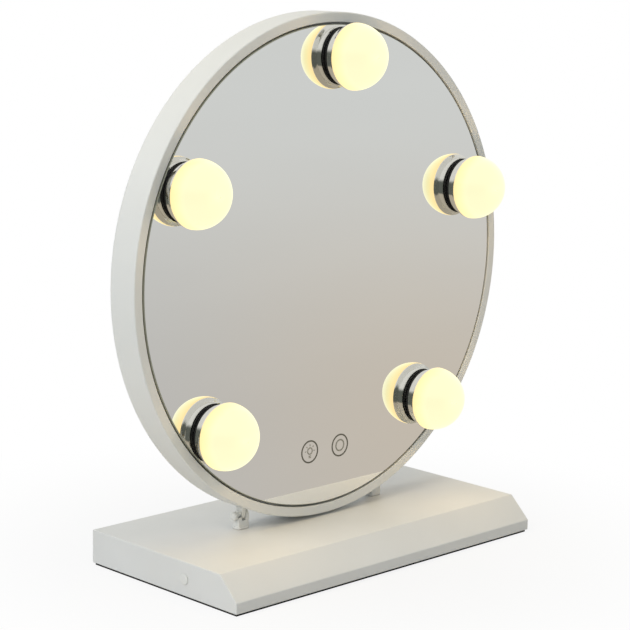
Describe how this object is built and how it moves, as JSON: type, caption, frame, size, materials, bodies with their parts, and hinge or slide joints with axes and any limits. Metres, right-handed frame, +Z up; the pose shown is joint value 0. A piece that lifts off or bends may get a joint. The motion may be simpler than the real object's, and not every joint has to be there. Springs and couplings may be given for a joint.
{
  "type": "lighted vanity mirror",
  "caption": "Round lit make-up mirror with dome lamps round the glass, in a thin white casing hinged low on a flat rectangular base.",
  "frame": {"origin": "on the table, under the middle of the base", "axes": "+Z up, the glass faces -Y, +X to the right as seen from the front"},
  "size_m": [0.3, 0.125, 0.3231],
  "materials": {
    "white_lacquer": "satin white lacquer sprayed over fibreboard",
    "white_plastic": "satin moulded ABS",
    "mirror_silver": "silvered float glass",
    "chrome": "bright chrome plate",
    "lit_dome": "opal diffuser, lit warm white",
    "black_rubber": "matt rubber",
    "black_foam": "closed-cell foam sheet",
    "black_plastic": "moulded socket body",
    "steel": "zinc-plated steel",
    "circuit_board": "green solder mask",
    "led_board": "white-coated aluminium board",
    "ribbon_cable": "flat flexible cable",
    "wire_sleeve": "PVC wire sleeve"
  },
  "bodies": {
    "base": {"base_board": "white_lacquer", "base_pad": "black_foam", "side_plug": "white_plastic", "foot_bracket_left": "white_plastic", "foot_bracket_right": "white_plastic", "foot_screw_left": "steel", "foot_screw_right": "steel"},
    "head": {"casing_ring": "white_plastic", "mirror_glass": "mirror_silver", "glass_tape": "black_foam", "backing_plate": "white_plastic", "rear_cover": "white_plastic", "cover_screw_1": "steel", "cover_screw_2": "steel", "cover_screw_3": "steel", "cover_screw_4": "steel", "dome_top": "lit_dome", "collar_top": "chrome", "gasket_top": "black_rubber", "led_board_top": "led_board", "stem_nut_top": "steel", "bulb_lead_top": "wire_sleeve", "dome_upper_right": "lit_dome", "collar_upper_right": "chrome", "gasket_upper_right": "black_rubber", "led_board_upper_right": "led_board", "stem_nut_upper_right": "steel", "bulb_lead_upper_right": "wire_sleeve", "dome_lower_right": "lit_dome", "collar_lower_right": "chrome", "gasket_lower_right": "black_rubber", "led_board_lower_right": "led_board", "stem_nut_lower_right": "steel", "bulb_lead_lower_right": "wire_sleeve", "dome_lower_left": "lit_dome", "collar_lower_left": "chrome", "gasket_lower_left": "black_rubber", "led_board_lower_left": "led_board", "stem_nut_lower_left": "steel", "bulb_lead_lower_left": "wire_sleeve", "dome_upper_left": "lit_dome", "collar_upper_left": "chrome", "gasket_upper_left": "black_rubber", "led_board_upper_left": "led_board", "stem_nut_upper_left": "steel", "bulb_lead_upper_left": "wire_sleeve", "touch_board": "circuit_board", "control_board": "circuit_board", "touch_ribbon": "ribbon_cable", "dc_socket": "black_plastic", "power_lead": "wire_sleeve"},
    "knob_left": {"thumb_knob_left": "white_plastic"},
    "knob_right": {"thumb_knob_right": "white_plastic"}
  },
  "joints": [
    {"name": "head_tilt", "type": "hinge", "parent": "base", "child": "head", "pos_m": [0, 0.0085, 0.0296], "axis": [-1, 0, 0], "range_deg": [-6, 15]},
    {"name": "knob_left_turn", "type": "hinge", "parent": "head", "child": "knob_left", "pos_m": [-0.0619, 0.0085, 0.0296], "axis": [-1, 0, 0], "range_deg": [0, 180]},
    {"name": "knob_right_turn", "type": "hinge", "parent": "head", "child": "knob_right", "pos_m": [0.0619, 0.0085, 0.0296], "axis": [1, 0, 0], "range_deg": [0, 180]}
  ]
}
